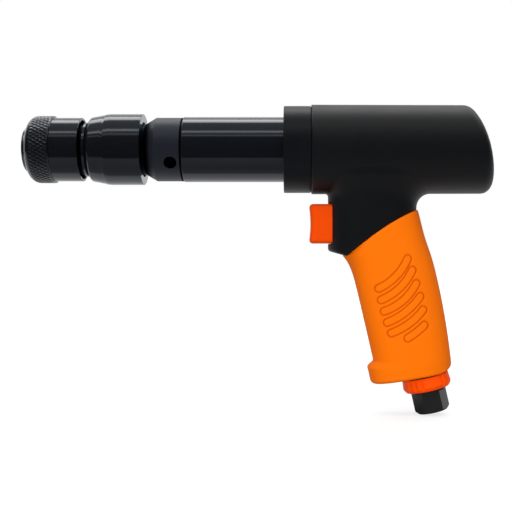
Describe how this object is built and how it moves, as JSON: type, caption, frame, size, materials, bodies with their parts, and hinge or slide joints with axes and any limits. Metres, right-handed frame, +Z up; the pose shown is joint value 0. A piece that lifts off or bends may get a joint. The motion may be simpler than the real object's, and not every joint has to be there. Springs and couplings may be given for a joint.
{
  "type": "pneumatic air hammer",
  "caption": "Pistol-grip pneumatic air hammer with a quick-change chisel chuck, jacketed barrel, sliding trigger and a turning exhaust deflector round the air inlet.",
  "frame": {"origin": "on the barrel axis at the front face of the chuck", "axes": "+X runs back along the barrel from the chuck to the housing, +Z is up, the handle hangs towards -Z"},
  "size_m": [0.2919, 0.056, 0.1944],
  "materials": {
    "chuck_black": "gloss",
    "barrel_black": "satin",
    "jacket_black": "gloss",
    "housing_black": "matte",
    "cap_black": "matte",
    "steel": "satin",
    "spring_steel": "polished",
    "brass": "satin",
    "inlet_black": "satin",
    "grip_orange": "matte",
    "trigger_orange": "satin",
    "seal_rubber": "matte",
    "felt": "matte"
  },
  "bodies": {
    "tool": {"chuck_body": "chuck_black", "nose_snap_ring": "spring_steel", "sleeve_spring": "spring_steel", "chuck_o_ring": "seal_rubber", "rear_collar": "chuck_black", "cylinder_barrel": "barrel_black", "jacket_seal": "seal_rubber", "exhaust_jacket": "jacket_black", "front_cap": "cap_black", "cap_seal": "seal_rubber", "valve_seat": "steel", "valve_cap": "steel", "valve_dowels": "steel", "valve_cushion": "seal_rubber", "housing": "housing_black", "grip_sleeve": "grip_orange", "throttle_bushing": "brass", "throttle_o_ring": "seal_rubber", "throttle_spring": "spring_steel", "inlet_bushing": "inlet_black", "inlet_o_ring": "seal_rubber", "inlet_screen": "steel", "muffler_felt": "felt"},
    "release_sleeve": {"release_sleeve": "chuck_black"},
    "ball_1": {"lock_ball_1": "steel"},
    "ball_2": {"lock_ball_2": "steel"},
    "ball_3": {"lock_ball_3": "steel"},
    "ball_4": {"lock_ball_4": "steel"},
    "piston": {"piston": "steel"},
    "valve_disc": {"valve_disc": "steel"},
    "trigger": {"trigger": "trigger_orange", "trigger_stem": "steel", "throttle_valve": "brass"},
    "exhaust_deflector": {"exhaust_deflector": "trigger_orange"}
  },
  "joints": [
    {"name": "sleeve_slide", "type": "slide", "parent": "tool", "child": "release_sleeve", "axis": [1, 0, 0], "range_m": [0, 0.0045], "stiffness_N_per_m": 2500, "springref_m": -0.003, "deforming": ["sleeve_spring"]},
    {"name": "ball_1_slide", "type": "slide", "parent": "tool", "child": "ball_1", "axis": [0, -0.7071, 0.7071], "range_m": [0, 0.00205]},
    {"name": "ball_2_slide", "type": "slide", "parent": "tool", "child": "ball_2", "axis": [0, -0.7071, -0.7071], "range_m": [0, 0.00205]},
    {"name": "ball_3_slide", "type": "slide", "parent": "tool", "child": "ball_3", "axis": [0, 0.7071, -0.7071], "range_m": [0, 0.00205]},
    {"name": "ball_4_slide", "type": "slide", "parent": "tool", "child": "ball_4", "axis": [0, 0.7071, 0.7071], "range_m": [0, 0.00205]},
    {"name": "piston_stroke", "type": "slide", "parent": "tool", "child": "piston", "axis": [-1, 0, 0], "range_m": [0, 0.096]},
    {"name": "valve_shift", "type": "slide", "parent": "tool", "child": "valve_disc", "axis": [1, 0, 0], "range_m": [0, 0.002]},
    {"name": "trigger_pull", "type": "slide", "parent": "tool", "child": "trigger", "axis": [1, 0, 0], "range_m": [0, 0.006], "stiffness_N_per_m": 1500, "springref_m": -0.003, "deforming": ["throttle_spring"]},
    {"name": "deflector_turn", "type": "hinge", "parent": "tool", "child": "exhaust_deflector", "pos_m": [0.25139, 0, -0.14552], "axis": [0.225, 0, -0.9744], "continuous": true}
  ],
  "couplings": [
    {"joint": "ball_1_slide", "follows": "sleeve_slide", "ratio": 0.45556},
    {"joint": "ball_2_slide", "follows": "sleeve_slide", "ratio": 0.45556},
    {"joint": "ball_3_slide", "follows": "sleeve_slide", "ratio": 0.45556},
    {"joint": "ball_4_slide", "follows": "sleeve_slide", "ratio": 0.45556}
  ]
}
